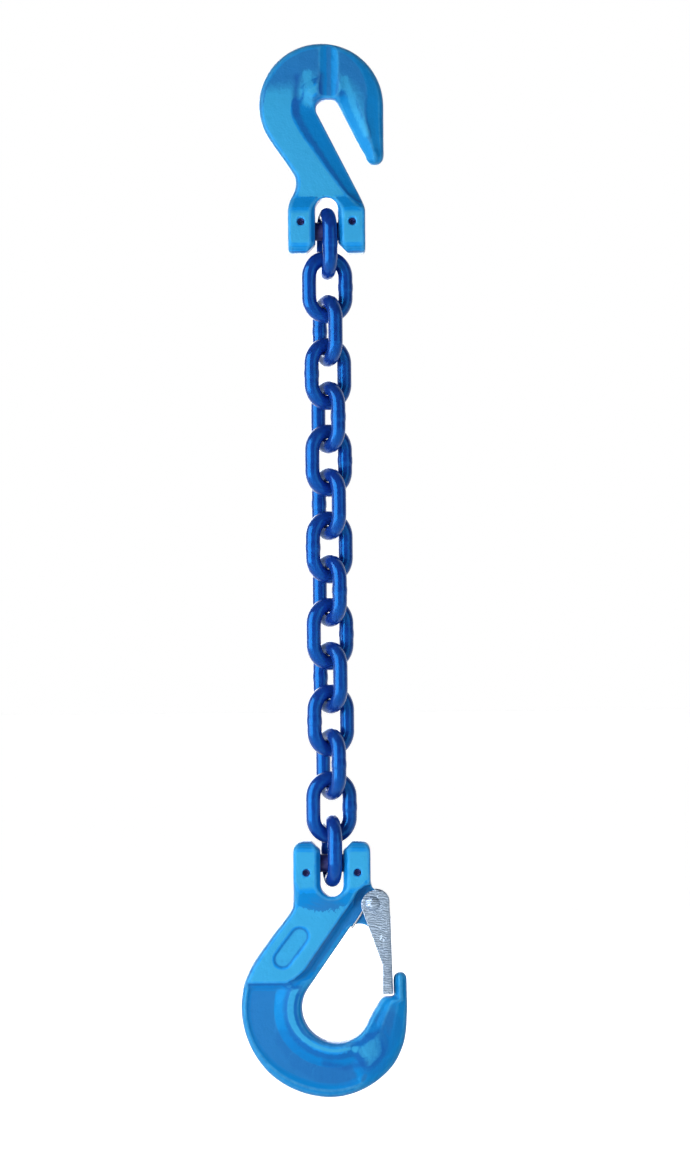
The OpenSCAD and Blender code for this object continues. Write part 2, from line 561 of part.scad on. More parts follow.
// Round wire swept along a path; the axis is any direction that the path never takes
function unit(v) = v / norm(v);
module tube(path, r, axis) {
    n = 8;
    m = len(path);
    rings = [for (j = [0 : m - 1])
        let (t = unit(path[min(j + 1, m - 1)] - path[max(j - 1, 0)]), s = unit(cross(t, axis)), u = cross(t, s))
        [for (i = [0 : n - 1]) path[j] + r * (cos(360 * i / n) * s + sin(360 * i / n) * u)]];
    skin(rings);
}

grab_hook();
grab_load_pin();
grab_roll_pins();
for (k = [1 : link_count]) chain_link(k);
sling_hook();
sling_load_pin();
sling_roll_pins();
latch();
latch_rivet();
latch_spring();
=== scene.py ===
import math

import bmesh
import bpy
import numpy as np
from bpy.props import FloatProperty, FloatVectorProperty, IntProperty, PointerProperty
from mathutils import Matrix, Vector


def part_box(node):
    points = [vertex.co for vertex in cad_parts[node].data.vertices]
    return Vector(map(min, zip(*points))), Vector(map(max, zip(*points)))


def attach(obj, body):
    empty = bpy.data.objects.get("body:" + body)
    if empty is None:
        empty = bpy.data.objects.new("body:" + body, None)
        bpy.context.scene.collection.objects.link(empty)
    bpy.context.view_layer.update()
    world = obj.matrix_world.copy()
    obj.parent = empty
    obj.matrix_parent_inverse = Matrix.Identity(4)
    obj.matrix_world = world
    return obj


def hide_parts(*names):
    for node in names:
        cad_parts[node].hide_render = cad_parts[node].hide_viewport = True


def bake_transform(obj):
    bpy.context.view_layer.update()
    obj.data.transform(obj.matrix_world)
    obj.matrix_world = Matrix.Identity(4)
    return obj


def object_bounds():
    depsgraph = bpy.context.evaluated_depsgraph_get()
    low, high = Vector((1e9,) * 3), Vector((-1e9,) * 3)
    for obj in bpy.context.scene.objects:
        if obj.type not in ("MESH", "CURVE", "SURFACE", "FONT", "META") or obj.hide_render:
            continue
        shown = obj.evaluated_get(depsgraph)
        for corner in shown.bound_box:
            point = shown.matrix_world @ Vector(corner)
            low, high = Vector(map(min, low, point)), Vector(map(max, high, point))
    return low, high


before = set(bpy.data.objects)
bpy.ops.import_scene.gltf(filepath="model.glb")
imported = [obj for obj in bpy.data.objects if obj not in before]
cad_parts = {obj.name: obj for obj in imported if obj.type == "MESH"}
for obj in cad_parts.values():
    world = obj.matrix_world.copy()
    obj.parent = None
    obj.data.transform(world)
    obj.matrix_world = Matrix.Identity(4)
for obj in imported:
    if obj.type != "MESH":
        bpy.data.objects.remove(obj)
CAD_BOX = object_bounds()

bl_info = {
    "name": "Chain Sling",
    "version": (1, 0, 0),
    "blender": (4, 5, 0),
    "location": "3D View > Sidebar > Chain Sling",
    "description": "Paints and plates a hanging single-leg chain sling and sets it in a studio",
    "category": "Object",
}

LINKS = sorted(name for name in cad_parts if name.startswith("link_"))
MM = 0.001
# Corners of a solid that are nearer than this are one
JOIN_DISTANCE = 1e-6
# Share of the way to its neighbours that a round of smoothing moves a corner
SMOOTH_SHARE = 0.5
# The values that most of a noise texture lies between
NOISE_SPAN = (0.3, 0.7)

# Painted highlight and painted shade strokes on the hooks: half width, tone (1 is a painted highlight, -1
# painted shade) and line in x and z, in metres
LIGHT_SHADE_STROKES = {
    "grab_hook": [
        # painted highlights on the shoulders beside the saddle
        (0.0016, 1, [(-0.0125, 0.0165), (-0.0112, 0.006), (-0.0125, -0.002)]),
        (0.0006, 1, [(0.0135, 0.0135), (0.0165, 0.005), (0.0195, -0.006), (0.0275, -0.024)]),
        # painted shade in the valley at their left and on the left side of the saddle
        (0.0002, -1, [(-0.0195, 0.0155), (-0.0208, -0.002), (-0.0205, -0.011)]),
        (0.0004, -1, [(-0.0035, 0.016), (-0.0035, 0.004)]),
    ],
    "sling_hook": [
        # painted shade on the bottom of the web, the right side of the bowl and the hollow under the bowl
        (0.005, -0.45, [(-0.034, -0.642), (-0.024, -0.657), (-0.008, -0.667), (0.01, -0.669)]),
        (0.0095, -0.5, [(0.0255, -0.657), (0.0305, -0.646), (0.0365, -0.634)]),
        (0.0008, -0.9, [(-0.006, -0.6595), (0.008, -0.6625), (0.022, -0.659)]),
    ],
}

# Corners of a hook that its forging draws out: x, z, full radius and rim radius, in metres
EASED = {"sling_hook": [(0.0275, -0.656, 0.013, 0.024)]}

# The two paints: roughness on bare and on patched paint, texture of the coat, shares of patches and of the
# lighter edges, which are wear and painted highlight
HOOK_COAT = {
    "rough": (0.25, 0.4),
    "texture": {"Peel Scale": 800.0, "Peel": 0.2, "Wave Scale": 160.0, "Wave": 1.0},
    "patch_share": 0.12,
    "wear_and_highlight_share": 0.45,
}
CHAIN_COAT = {
    "rough": (0.12, 0.24),
    "texture": {"Peel Scale": 700.0, "Peel": 0.08, "Wave Scale": 110.0, "Wave": 0.35},
    "patch_share": 0.5,
    "wear_and_highlight_share": 0.5,
}
COAT_DEPTH = 0.0006
# share of the painted shade in the hollows
HOLLOW_SHADE_SHARE = 0.6

# Paint on the faces of a forging, as painted shade: brightness of a recessed slope, and shares of the tones
# in their masks: painted shade at the ridge feet, painted highlights from the light strokes and painted shade
# from the dark strokes
RECESS_SLOPE_SHADE = 0.82
RIDGE_SHADE_SHARE = 0.7
LIGHT_SHARE = 0.8
DARK_SHARE = 0.75

# Half length of a link's weld bead, and the part of the wire beside the middle where the bead is looked for
WELD_HALF = 0.0026
WELD_BAND = 0.35

# Sides of the paint in a spring pin's bore
BORE_SIDES = 24

# The latch spring, half of it, in millimetres from the middle of the rivet: its foot under the lug, its coil
# (radius, first and last turn in degrees, step, y of its start, pitch) and its leg behind the latch
SPRING_FOOT = [(-13.9, -3.15, -16.61), (-13.9, -4.15, -16.61), (-13.9, -4.75, -16.61),
               (-13.5, -5.15, -16.01), (-5.6, -5.15, -4.0), (-4.2, -5.15, -1.0)]
COIL_R, COIL_FROM, COIL_TO, COIL_STEP = 3.85, 165, -339, 12
COIL_OUT, COIL_PITCH = 5.15, 1.5
SPRING_LEG = [(7.4, -7.25, -11.0), (9.4, -7.25, -16.0), (9.4, -7.25, -24.0), (9.4, -6.85, -24.8),
              (9.4, -6.05, -25.2), (9.4, -2.0, -25.2)]
SPRING_SIDES = 16
SPRING_CURVE_STEPS = 3

# Stage: lamps with their places from the middle of the view and their sizes, the floor, and the range of the
# view direction's y over which paint and metal mirror the white backdrop
LAMPS = {
    "key": ((-0.62, -0.8, 0.0), (0.5, 0.7)),
    "sheen": ((-1.0, -0.65, 0.0), (1.4, 2.0)),
    "fill": ((1.9, -1.6, 0.3), (1.6, 2.0)),
    "rear": ((-0.6, 2.2, 0.5), (1.8, 1.8)),
}
FLOOR_REACH = 12.0
FLOOR_TONE = (0.8, 0.8, 0.8, 1.0)
FLOOR_ROUGHNESS = 0.7
FLOOR_GLOW = 0.82
BACKDROP = (0.1, 0.5)
WHITE = (1, 1, 1, 1)
SENSOR_HEIGHT = 36.0


# Meshes

def bare_mesh(node):
    """A copy of a node's mesh with its split corners joined."""
    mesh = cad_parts[node].data.copy()
    work = bmesh.new()
    work.from_mesh(mesh)
    bmesh.ops.remove_doubles(work, verts=work.verts, dist=JOIN_DISTANCE)
    work.to_mesh(mesh)
    work.free()
    return mesh


def finish(mesh, material):
    """Gives a mesh one material, by name."""
    mesh.materials.clear()
    mesh.materials.append(bpy.data.materials[material])


def refinish(node, material):
    """Gives a carried-over CAD node another material, by name."""
    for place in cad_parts[node].material_slots:
        place.material = bpy.data.materials[material]


def new_piece(name, mesh, material, body, slot, *nodes):
    """A shown piece that stands for the nodes and moves with the body, if it is given one."""
    mesh.name = name
    piece = bpy.data.objects.new(name, mesh)
    bpy.context.scene.collection.objects.link(piece)
    finish(mesh, material)
    mesh.shade_smooth()
    if body:
        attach(piece, body)
    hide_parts(*nodes)
    return piece


def apply_modifiers(obj):
    """Replaces an object's mesh by the one its modifiers make."""
    shaped = bpy.data.meshes.new_from_object(obj.evaluated_get(bpy.context.evaluated_depsgraph_get()))
    obj.modifiers.clear()
    old = obj.data
    obj.data = shaped
    bpy.data.meshes.remove(old)
    return shaped


def softened(node, grid, rounds):
    """A node's solid on a fine even grid, with its edges rounded as a forging's are."""
    obj = bpy.data.objects.new(node + "_work", bare_mesh(node))
    bpy.context.scene.collection.objects.link(obj)
    remesh = obj.modifiers.new("grid", "REMESH")
    remesh.mode = "VOXEL"
    remesh.voxel_size = grid
    smooth = obj.modifiers.new("round", "SMOOTH")
    smooth.factor = SMOOTH_SHARE
    smooth.iterations = rounds
    mesh = apply_modifiers(obj)
    bpy.data.objects.remove(obj)
    return mesh


def eased(mesh, spots, rounds):
    """Draws corners of a forging out into the faces round them."""
    obj = bpy.data.objects.new("eased_work", mesh)
    bpy.context.scene.collection.objects.link(obj)
    group = obj.vertex_groups.new(name="eased")
    for vertex in mesh.vertices:
        share = max((rim - math.hypot(vertex.co.x - x, vertex.co.z - z)) / (rim - full)
                    for x, z, full, rim in spots)
        if share > 0:
            group.add([vertex.index], min(share, 1), "REPLACE")
    smooth = obj.modifiers.new("ease", "SMOOTH")
    smooth.vertex_group = group.name
    smooth.use_x = smooth.use_z = False
    smooth.factor = SMOOTH_SHARE
    smooth.iterations = rounds
    out = apply_modifiers(obj)
    bpy.data.objects.remove(obj)
    return out


def paint_light_shade_strokes(mesh, strokes, soft):
    """Writes the painted highlight and painted shade strokes to a hook's attribute, with rims that fade over
    a width.
    """
    places = np.array([v.co for v in mesh.vertices])[:, [0, 2]]
    rubbed = np.zeros(len(places))
    for reach, tone, line in strokes:
        for start, end in zip(line, line[1:]):
            start, run = np.array(start), np.array(end) - np.array(start)
            along = np.clip((places - start) @ run / (run @ run), 0, 1)
            away = np.linalg.norm(places - start - along[:, None] * run, axis=1)
            mark = np.clip((reach + soft - away) / soft, 0, 1)
            rubbed = np.where(mark > np.abs(rubbed), tone * mark, rubbed)
    layer = mesh.attributes.new("rubbed", "FLOAT", "POINT")
    layer.data.foreach_set("value", rubbed.astype(np.float32))


def tube_mesh(name, path, radii, sides, closed=False):
    """Round wire along a path; radii holds one radius per point."""
    points = [Vector(p) for p in path]
    count = len(points)
    verts, faces = [], []
    first = points[1] - points[0]
    side = first.orthogonal().normalized()
    for i, point in enumerate(points):
        ahead = points[(i + 1) % count] if closed else points[min(i + 1, count - 1)]
        behind = points[i - 1] if closed or i else points[0]
        run = (ahead - behind).normalized()
        side = (side - run * side.dot(run)).normalized()
        up = run.cross(side)
        for k in range(sides):
            turn = 2 * math.pi * k / sides
            verts.append(point + radii[i] * (math.cos(turn) * side + math.sin(turn) * up))
    for i in range(count if closed else count - 1):
        for k in range(sides):
            a, b = i * sides, ((i + 1) % count) * sides
            n = (k + 1) % sides
            faces.append((a + k, a + n, b + n, b + k))
    if not closed:
        faces.append(tuple(range(sides - 1, -1, -1)))
        faces.append(tuple((count - 1) * sides + k for k in range(sides)))
    mesh = bpy.data.meshes.new(name)
    mesh.from_pydata([tuple(v) for v in verts], [], faces)
    return mesh


def stadium(width, height, wire, steps):
    """Middle line of a link in its own plane, from the middle of its welded limb round, and its length."""
    turn_r = (width - wire) / 2
    straight = (height - wire) / 2 - turn_r
    length = 4 * straight + 2 * math.pi * turn_r
    line = []
    for i in range(steps):
        s = length * i / steps
        if s < straight:
            line.append((turn_r, s))
        elif s < straight + math.pi * turn_r:
            a = (s - straight) / turn_r
            line.append((turn_r * math.cos(a), straight + turn_r * math.sin(a)))
        elif s < 3 * straight + math.pi * turn_r:
            line.append((-turn_r, 2 * straight + math.pi * turn_r - s))
        elif s < 3 * straight + 2 * math.pi * turn_r:
            a = math.pi + (s - 3 * straight - math.pi * turn_r) / turn_r
            line.append((turn_r * math.cos(a), -straight + turn_r * math.sin(a)))
        else:
            line.append((turn_r, s - length))
    return line, length


def smooth_path(points, steps):
    """Catmull-Rom curve through a wire's corner points."""
    ends = [points[0]] + list(points) + [points[-1]]
    path = []
    for i in range(1, len(ends) - 2):
        a, b, c, d = (Vector(p) for p in ends[i - 1:i + 3])
        for k in range(steps):
            t = k / steps
            path.append(0.5 * (2 * b + (c - a) * t + (2 * a - 5 * b + 4 * c - d) * t * t
                               + (3 * b - a - 3 * c + d) * t ** 3))
    path.append(Vector(points[-1]))
    return path


# Node trees

def add(tree, kind, inputs=None, **settings):
    """Adds a node, sets its options and fills or links its inputs."""
    node = tree.nodes.new(kind)
    for key, value in settings.items():
        setattr(node, key, value)
    for key, value in (inputs or {}).items():
        socket = node.inputs[key]
        if isinstance(value, bpy.types.NodeSocket):
            tree.links.new(value, socket)
        else:
            socket.default_value = value
    return node


def new_group(name, inputs, outputs):
    """An empty shader group with float inputs and outputs, and the sockets that give its inputs inside."""
    group = bpy.data.node_groups.new(name, "ShaderNodeTree")
    for label, value in inputs.items():
        group.interface.new_socket(label, in_out="INPUT", socket_type="NodeSocketFloat").default_value = value
    for label in outputs:
        group.interface.new_socket(label, in_out="OUTPUT", socket_type="NodeSocketFloat")
    return group, group.nodes.new("NodeGroupInput").outputs


def noise(tree, scale, detail=2.0, rough=0.5, stretch=None):
    """Noise value in object space, stretched where asked."""
    place = add(tree, "ShaderNodeTexCoord").outputs["Object"]
    if stretch:
        place = add(tree, "ShaderNodeMapping", {"Vector": place, "Scale": stretch}).outputs[0]
    return add(tree, "ShaderNodeTexNoise",
               {"Vector": place, "Scale": scale, "Detail": detail, "Roughness": rough}).outputs[0]


def ranged(tree, value, low, high, to_low=0.0, to_high=1.0):
    """Value taken from one range to another and kept within it."""
    return add(tree, "ShaderNodeMapRange", {"Value": value, "From Min": low, "From Max": high,
                                            "To Min": to_low, "To Max": to_high}).outputs[0]


def math_node(tree, operation, a, b=0.0):
    """Value of a math node."""
    return add(tree, "ShaderNodeMath", {0: a, 1: b}, operation=operation).outputs[0]


def times(tree, a, b):
    """Product of two values."""
    return math_node(tree, "MULTIPLY", a, b)


def height_of(tree, vector):
    """How far a vector points or lies from the plane of the hooks, on either side."""
    return math_node(tree, "ABSOLUTE", add(tree, "ShaderNodeSeparateXYZ", {0: vector}).outputs["Y"])


def coat_texture_group():
    """Height and patches of a thick sprayed coat over a forged skin."""
    group, given = new_group("Coat Texture",
                             {"Peel Scale": 900.0, "Wave Scale": 60.0, "Peel": 0.3, "Wave": 1.0,
                              "Patch Scale": 38.0, "Patch Start": 0.35, "Patch End": 0.65},
                             ["Height", "Patch"])
    peel = noise(group, given["Peel Scale"], 1.0)
    wave = noise(group, given["Wave Scale"], 3.0)
    height = math_node(group, "ADD", times(group, peel, given["Peel"]), times(group, wave, given["Wave"]))
    patch = ranged(group, noise(group, given["Patch Scale"], 4.0, 0.6), given["Patch Start"],
                   given["Patch End"])
    add(group, "NodeGroupOutput", {"Height": height, "Patch": patch})


def edge_and_hollow_group():
    """Masks of the edges of a piece, for wear and for painted highlights there, and of its hollows, for
    painted shade.
    """
    group, given = new_group("Edge Wear",
                             {"Start": 0.503, "End": 0.512, "Breakup Scale": 220.0, "Least Wear": 0.2,
                              "Hollow Start": 0.497, "Hollow End": 0.486},
                             ["Wear", "Hollow"])
    bend = add(group, "ShaderNodeNewGeometry").outputs["Pointiness"]
    broken = ranged(group, noise(group, given["Breakup Scale"], 5.0, 0.7), *NOISE_SPAN, given["Least Wear"])
    edge = ranged(group, bend, given["Start"], given["End"])
    hollow = ranged(group, bend, given["Hollow Start"], given["Hollow End"])
    add(group, "NodeGroupOutput", {"Wear": times(group, edge, broken), "Hollow": hollow})


def forged_shade_group():
    """Masks of painted shade on a forging: on the drawn slopes by slope, on the recessed faces and the neck
    by depth, and at the foot of the ridges.
    """
    group, given = new_group("Forged Faces",
                             {"Flat": 0.995, "Drawn": 0.984, "Flat Level": 0.0101, "Deep Level": 0.0093,
                              "Neck Low": 0.0113, "Neck High": 0.0131, "Foot Top": 0.0107,
                              "Foot Full Top": 0.0103, "Foot Full Base": 0.0095, "Foot Base": 0.0088,
                              "Ragged Scale": 420.0, "Ragged Slope": 0.008, "Ragged Level": 0.0008},
                             ["Slope", "Recess", "Ridge"])
    place = add(group, "ShaderNodeTexCoord").outputs
    ragged = math_node(group, "SUBTRACT", noise(group, given["Ragged Scale"], 3.0, 0.6), 0.5)
    facing = math_node(group, "ADD", height_of(group, place["Normal"]),
                       times(group, ragged, given["Ragged Slope"]))
    level = math_node(group, "ADD", height_of(group, place["Object"]),
                      times(group, ragged, given["Ragged Level"]))
    slope = ranged(group, facing, given["Flat"], given["Drawn"])
    recess = ranged(group, level, given["Flat Level"], given["Deep Level"])
    neck = times(group, math_node(group, "GREATER_THAN", level, given["Neck Low"]),
                 math_node(group, "LESS_THAN", level, given["Neck High"]))
    foot = times(group, ranged(group, level, given["Foot Top"], given["Foot Full Top"]),
                 ranged(group, level, given["Foot Base"], given["Foot Full Base"]))
    add(group, "NodeGroupOutput", {"Slope": slope, "Recess": math_node(group, "MAXIMUM", recess, neck),
                                   "Ridge": times(group, foot, slope)})


def light_shade_strokes_group():
    """Masks of the painted highlight strokes and of the painted shade strokes on a piece, ragged at their
    rims.
    """
    group, given = new_group("Strokes",
                             {"Grain": 420.0, "Ragged": 0.4, "Dark Ragged": 0.12, "Light Start": 0.35,
                              "Light End": 0.85, "Dark Start": -0.2, "Dark End": -1.0},
                             ["Light", "Dark"])
    mark = add(group, "ShaderNodeAttribute", attribute_name="rubbed").outputs["Fac"]
    grain = ranged(group, noise(group, given["Grain"], 5.0, 0.75, (1.0, 1.0, 0.3)), *NOISE_SPAN, -1.0, 1.0)
    light = math_node(group, "ADD", mark, times(group, grain, given["Ragged"]))
    dark = math_node(group, "ADD", mark, times(group, grain, given["Dark Ragged"]))
    add(group, "NodeGroupOutput", {"Light": ranged(group, light, given["Light Start"], given["Light End"]),
                                   "Dark": ranged(group, dark, given["Dark Start"], given["Dark End"])})


def turned_steel_group():
    """Fine lines across turned and drawn steel."""
    group, given = new_group("Turned Steel", {"Line Scale": 500.0}, ["Lines"])
    add(group, "NodeGroupOutput", {"Lines": noise(group, given["Line Scale"], 3.0, 0.6, (0.1, 1.0, 1.0))})


def zinc_bloom_group():
    """Cloudy patches and fine wavy ripples of zinc plate on rolled sheet."""
    group, given = new_group("Zinc Bloom",
                             {"Bloom Scale": 240.0, "Bloom Start": 0.35, "Bloom End": 0.68,
                              "Ripple Scale": 196.0, "Distortion": 9.0},
                             ["Bloom", "Ripple"])
    bloom = ranged(group, noise(group, given["Bloom Scale"], 6.0, 0.7), given["Bloom Start"],
                   given["Bloom End"])
    place = add(group, "ShaderNodeTexCoord").outputs["Object"]
    wave = add(group, "ShaderNodeTexWave",
               {"Vector": place, "Scale": given["Ripple Scale"], "Distortion": given["Distortion"],
                "Detail": 2.0, "Detail Scale": 1.3}, bands_direction="Z")
    add(group, "NodeGroupOutput", {"Bloom": bloom, "Ripple": wave.outputs["Fac"]})


def placed(tree, group, values=None):
    """Outputs of a shared group in a material, with some of its inputs set."""
    node = tree.nodes.new("ShaderNodeGroup")
    node.node_tree = bpy.data.node_groups[group]
    for key, value in (values or {}).items():
        node.inputs[key].default_value = value
    return node.outputs


def new_material(name):
    """Makes a material and gives its node tree and its shader."""
    material = bpy.data.materials.new(name)
    material.use_nodes = True
    tree = material.node_tree
    return tree, tree.nodes["Principled BSDF"]


def mixed(tree, factor, a, b):
    """Colour mix of two colours or sockets."""
    node = add(tree, "ShaderNodeMix", {"Factor": factor}, data_type="RGBA")
    for socket, value in ((node.inputs[6], a), (node.inputs[7], b)):
        if isinstance(value, bpy.types.NodeSocket):
            tree.links.new(value, socket)
        else:
            socket.default_value = (*value, 1.0)
    return node.outputs[2]


def dress(tree, shader, tone, rough, height, depth):
    """Links a shader's colour, roughness and bump."""
    bump = add(tree, "ShaderNodeBump", {"Height": height, "Distance": depth, "Strength": 1.0})
    tree.links.new(tone, shader.inputs["Base Color"])
    tree.links.new(rough, shader.inputs["Roughness"])
    tree.links.new(bump.outputs[0], shader.inputs["Normal"])


def forged_tone(tree, looks, tone):
    """Paint on a forging with painted shade: darker on its slopes, recesses and ridge feet, and with painted
    highlights and painted shade where the strokes mark it.
    """
    slope, recess, ridge = placed(tree, "Forged Faces").values()
    light, dark = placed(tree, "Strokes").values()
    recess_slope_shade = tuple(RECESS_SLOPE_SHADE * c for c in looks.slope_shade_paint)
    # painted shade on the slopes, the recesses and the ridge feet
    tone = mixed(tree, slope, tone, looks.slope_shade_paint)
    tone = mixed(tree, recess, tone, mixed(tree, slope, looks.patch_and_shade_paint, recess_slope_shade))
    # painted shade at the foot of the ridges
    tone = mixed(tree, times(tree, ridge, RIDGE_SHADE_SHARE), tone, looks.dark_shade_paint)
    # painted highlights from the light strokes, and painted shade from the dark strokes
    tone = mixed(tree, times(tree, light, LIGHT_SHARE), tone, looks.paint)
    return mixed(tree, times(tree, dark, DARK_SHARE), tone, looks.dark_shade_paint)


def paint(name, looks, forged, rough, texture, patch_share, wear_and_highlight_share):
    """Glossy paint on steel: lighter on its edges as wear and painted highlight, with painted shade in
    hollows and, on a forging, on its slopes, recesses and ridge feet, and with peel and waves in its coat.
    """
    tree, shader = new_material(name)
    coat_height, patch = placed(tree, "Coat Texture", texture).values()
    wear, hollow = placed(tree, "Edge Wear").values()
    tone = mixed(tree, times(tree, patch, patch_share), looks.paint, looks.patch_and_shade_paint)
    if forged:
        tone = forged_tone(tree, looks, tone)
    # painted shade in the hollows
    tone = mixed(tree, times(tree, hollow, HOLLOW_SHADE_SHARE), tone, looks.patch_and_shade_paint)
    # lighter edges: wear and painted highlight
    tone = mixed(tree, times(tree, wear, wear_and_highlight_share), tone, looks.edge_wear_and_highlight_paint)
    dress(tree, shader, tone, ranged(tree, patch, 0.0, 1.0, *rough), coat_height, COAT_DEPTH)
    shader.inputs["Specular IOR Level"].default_value = looks.gloss
    shader.inputs["Specular Tint"].default_value = (*looks.gloss_tint, 1.0)


def zinc_plate(looks, bloom_share=0.45, ripple_share=0.5, rough=(0.28, 0.5), depth=0.0002, metallic=0.75):
    """Zinc plate of the latch and its rivet."""
    tree, shader = new_material("latch_zinc")
    bloom, ripple = placed(tree, "Zinc Bloom").values()
    shade = math_node(tree, "ADD", times(tree, bloom, bloom_share), times(tree, ripple, ripple_share))
    dress(tree, shader, mixed(tree, shade, looks.zinc, looks.dull_zinc),
          ranged(tree, bloom, 0.0, 1.0, *rough), ripple, depth)
    shader.inputs["Metallic"].default_value = metallic


def blued_steel(looks, worn_lines=(0.4, 0.8), line_share=0.5, rough=(0.4, 0.6), depth=0.0001, gloss=0.3):
    """Blued steel of the load pins and the spring pins, worn along its edges and its turned lines."""
    tree, shader = new_material("blued_steel")
    lines = placed(tree, "Turned Steel")["Lines"]
    wear = placed(tree, "Edge Wear")["Wear"]
    worn = math_node(tree, "MAXIMUM", ranged(tree, lines, *worn_lines, 0.0, line_share), wear)
    dress(tree, shader, mixed(tree, worn, looks.blued, looks.worn),
          ranged(tree, lines, *NOISE_SPAN, *rough), lines, depth)
    shader.inputs["Specular IOR Level"].default_value = gloss


def bare_steel(looks, darkest=0.55, rough=(0.3, 0.5), depth=0.0001, metallic=0.9):
    """Drawn steel of the latch spring."""
    tree, shader = new_material("bare_steel")
    lines = placed(tree, "Turned Steel")["Lines"]
    dark = tuple(darkest * c for c in looks.steel)
    dress(tree, shader, mixed(tree, ranged(tree, lines, *NOISE_SPAN), looks.steel, dark),
          ranged(tree, lines, *NOISE_SPAN, *rough), lines, depth)
    shader.inputs["Metallic"].default_value = metallic


# Sizes and colours

class HookSettings(bpy.types.PropertyGroup):
    grid: FloatProperty(name="Skin grid", description="Grid of the painted skin of the hooks",
                        default=0.0007, min=0.0004, max=0.002, precision=5, unit="LENGTH")
    rounding: IntProperty(name="Edge rounding", description="Rounds of smoothing over the edges",
                          default=9, min=0, max=40)
    easing: IntProperty(name="Easing", description="Rounds of smoothing over the drawn-out corners",
                        default=160, min=0, max=400)
    # width over which a painted highlight or painted shade stroke fades
    light_shade_fade: FloatProperty(name="Stroke fade", description="Width over which a stroke fades",
                            default=0.004, min=0.0005, max=0.01, precision=4, unit="LENGTH")
    paint: FloatVectorProperty(name="Paint", description="Paint of the hooks", subtype="COLOR",
                               default=(0.045, 0.4, 0.77), min=0.0, max=1.0)
    # slope paint is painted shade: darker where a face turns away from the plane of the hooks
    slope_shade_paint: FloatVectorProperty(name="Slope paint", description="Paint on the drawn slopes",
                                     subtype="COLOR", default=(0.006, 0.285, 0.8), min=0.0, max=1.0)
    # edge paint is wear and painted highlight along the edges
    edge_wear_and_highlight_paint: FloatVectorProperty(name="Edge paint", description="Thin paint along the edges",
                                    subtype="COLOR", default=(0.11, 0.52, 0.86), min=0.0, max=1.0)
    # deep paint is the tone of the random patches, and painted shade on recessed faces and in hollows
    patch_and_shade_paint: FloatVectorProperty(name="Deep paint",
                                    description="Thick paint on recessed faces and in hollows",
                                    subtype="COLOR", default=(0.022, 0.195, 0.54), min=0.0, max=1.0)
    # ridge paint is painted shade at the foot of the ridges and in the dark strokes
    dark_shade_paint: FloatVectorProperty(name="Ridge paint",
                                     description="Paint that has run to the foot of the ridges",
                                     subtype="COLOR", default=(0.012, 0.1, 0.42), min=0.0, max=1.0)
    gloss: FloatProperty(name="Gloss", description="Specular level of the paint", default=0.25, min=0.0,
                         max=1.0, subtype="FACTOR")
    gloss_tint: FloatVectorProperty(name="Gloss tint", description="Tint of what the paint mirrors",
                                    subtype="COLOR", default=(0.15, 0.75, 1.0), min=0.0, max=1.0)


class ChainSettings(bpy.types.PropertyGroup):
    wire: FloatProperty(name="Wire", description="Diameter of the link wire", default=0.01,
                        min=0.009, max=0.0105, unit="LENGTH")
    width: FloatProperty(name="Width", description="Overall width of a link", default=0.036,
                         min=0.035, max=0.04, unit="LENGTH")
    weld_rise: FloatProperty(name="Weld rise", description="Height of the weld bead over the wire",
                             default=0.0003, min=0.0, max=0.0003, precision=5, unit="LENGTH")
    steps: IntProperty(name="Rings", description="Rings round a link", default=120, min=40, max=300)
    sides: IntProperty(name="Sides", description="Sides of the wire", default=36, min=12, max=80)
    paint: FloatVectorProperty(name="Paint", description="Paint of the chain", subtype="COLOR",
                               default=(0.006, 0.024, 0.27), min=0.0, max=1.0)
    # edge paint is wear and painted highlight on the high spots
    edge_wear_and_highlight_paint: FloatVectorProperty(name="Edge paint", description="Thin paint on high spots",
                                    subtype="COLOR", default=(0.01, 0.1, 0.45), min=0.0, max=1.0)
    # the chain's deep paint is the tone of the random patches and painted shade in the hollows
    patch_and_shade_paint: FloatVectorProperty(name="Deep paint", description="Thick paint in the hollows",
                                    subtype="COLOR", default=(0.005, 0.02, 0.15), min=0.0, max=1.0)
    gloss: FloatProperty(name="Gloss", description="Specular level of the paint", default=1.0, min=0.0,
                         max=1.0, subtype="FACTOR")
    gloss_tint: FloatVectorProperty(name="Gloss tint", description="Tint of what the paint mirrors",
                                    subtype="COLOR", default=(0.02, 0.39, 1.0), min=0.0, max=1.0)


class LatchSettings(bpy.types.PropertyGroup):
    grid: FloatProperty(name="Sheet grid", description="Grid of the folded sheet", default=0.0004,
                        min=0.0002, max=0.001, precision=5, unit="LENGTH")
    rounding: IntProperty(name="Edge rounding", description="Rounds of smoothing over the edges",
                          default=3, min=0, max=20)
    spring_wire: FloatProperty(name="Spring wire", description="Diameter of the spring wire", default=0.0014,
                               min=0.0012, max=0.0015, precision=4, unit="LENGTH")
    zinc: FloatVectorProperty(name="Zinc", description="Zinc plate of the latch", subtype="COLOR",
                              default=(0.45, 0.57, 0.71), min=0.0, max=1.0)
    dull_zinc: FloatVectorProperty(name="Dull zinc", description="Dull patches of the zinc plate",
                                   subtype="COLOR", default=(0.12, 0.18, 0.28), min=0.0, max=1.0)
    steel: FloatVectorProperty(name="Steel", description="Steel of the spring", subtype="COLOR",
                               default=(0.4, 0.42, 0.45), min=0.0, max=1.0)


class PinSettings(bpy.types.PropertyGroup):
    blued: FloatVectorProperty(name="Blued steel", description="Blued steel of the load pins and spring pins",
                               subtype="COLOR", default=(0.012, 0.014, 0.12), min=0.0, max=1.0)
    worn: FloatVectorProperty(name="Worn steel", description="Steel where the blueing has worn",
                              subtype="COLOR", default=(0.05, 0.055, 0.2), min=0.0, max=1.0)
    fill_share: FloatProperty(name="Fill share",
                              description="Radius of the paint in a spring pin's bore over the pin's",
                              default=0.7, min=0.3, max=0.9, subtype="FACTOR")
    fill_depth: FloatProperty(name="Fill depth", description="Depth of the paint below the pin's ends",
                              default=0.0012, min=0.0005, max=0.005, precision=4, unit="LENGTH")


